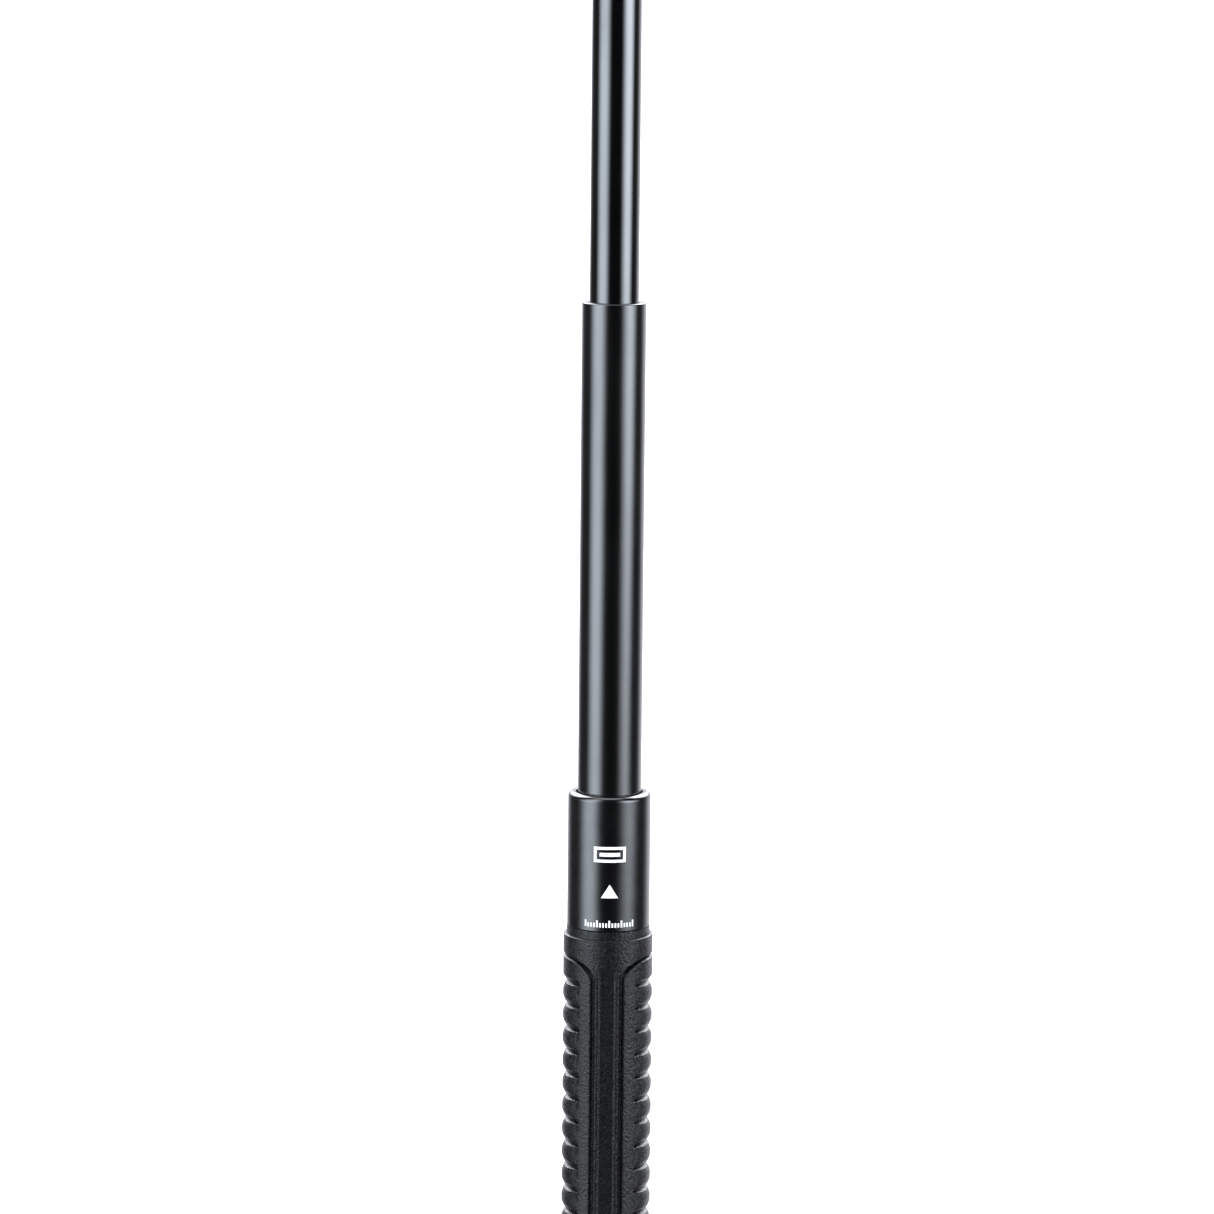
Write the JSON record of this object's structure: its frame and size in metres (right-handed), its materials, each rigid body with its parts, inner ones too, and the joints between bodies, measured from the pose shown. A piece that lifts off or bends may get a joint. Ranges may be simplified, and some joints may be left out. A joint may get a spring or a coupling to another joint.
{
  "type": "three-section extending baton",
  "caption": "Extending baton with a moulded rubber grip, two telescoping tubes held by spring-finger locks, and a release button in its tip.",
  "frame": {"origin": "centre of the butt's flat underside", "axes": "+Z along the tubes' common axis towards the tip; -Y towards the grip's front rib; shown fully extended"},
  "size_m": [0.0286, 0.0286, 0.5272],
  "materials": {
    "grip_rubber": "matte",
    "collar_black": "satin",
    "middle_black": "satin",
    "tip_black": "gloss",
    "cap_black": "satin",
    "button_grey": "satin",
    "spring_steel": "satin",
    "plain_steel": "satin",
    "bronze": "satin",
    "seal_rubber": "matte",
    "slide_ring": "satin",
    "mark_white": "matte",
    "insert_plastic": "satin"
  },
  "bodies": {
    "handle": {"handle_tube": "collar_black", "rubber_grip": "grip_rubber", "mouth_guide_bush": "bronze", "end_cap": "cap_black", "end_cap_o_ring": "seal_rubber", "bumper_pad": "seal_rubber", "end_cap_disc": "insert_plastic"},
    "middle_section": {"middle_tube": "middle_black", "middle_mouth_bush": "bronze", "middle_stop_ring": "plain_steel", "middle_guide_ring": "slide_ring", "middle_base_plug": "plain_steel", "middle_lock_collet": "spring_steel", "middle_collet_nut": "bronze", "middle_pin_spring": "spring_steel"},
    "middle_lock_pin": {"middle_lock_pin": "plain_steel", "middle_lock_cam": "bronze", "middle_pin_clip": "spring_steel"},
    "tip_section": {"tip_tube": "tip_black", "tip_cap": "cap_black", "tip_cap_o_ring": "seal_rubber", "button_spring_seat": "bronze", "button_spring": "spring_steel", "tip_stop_ring": "plain_steel", "tip_guide_ring": "slide_ring", "tip_base_plug": "plain_steel", "tip_lock_collet": "spring_steel", "tip_collet_nut": "bronze"},
    "release_button": {"release_button": "button_grey", "release_rod": "plain_steel", "tip_lock_cam": "bronze"}
  },
  "joints": [
    {"name": "middle_slide", "type": "slide", "parent": "handle", "child": "middle_section", "axis": [0, 0, 1], "range_m": [-0.1527, 0], "deforming": ["middle_lock_collet"]},
    {"name": "tip_slide", "type": "slide", "parent": "middle_section", "child": "tip_section", "axis": [0, 0, 1], "range_m": [-0.1415, 0], "deforming": ["tip_lock_collet"]},
    {"name": "button_press", "type": "slide", "parent": "tip_section", "child": "release_button", "axis": [0, 0, 1], "range_m": [-0.0025, 0], "stiffness_N_per_m": 600, "springref_m": 0.005, "deforming": ["button_spring"]},
    {"name": "pin_press", "type": "slide", "parent": "middle_section", "child": "middle_lock_pin", "axis": [0, 0, 1], "range_m": [-0.0025, 0], "stiffness_N_per_m": 500, "springref_m": 0.005, "deforming": ["middle_pin_spring"]}
  ]
}
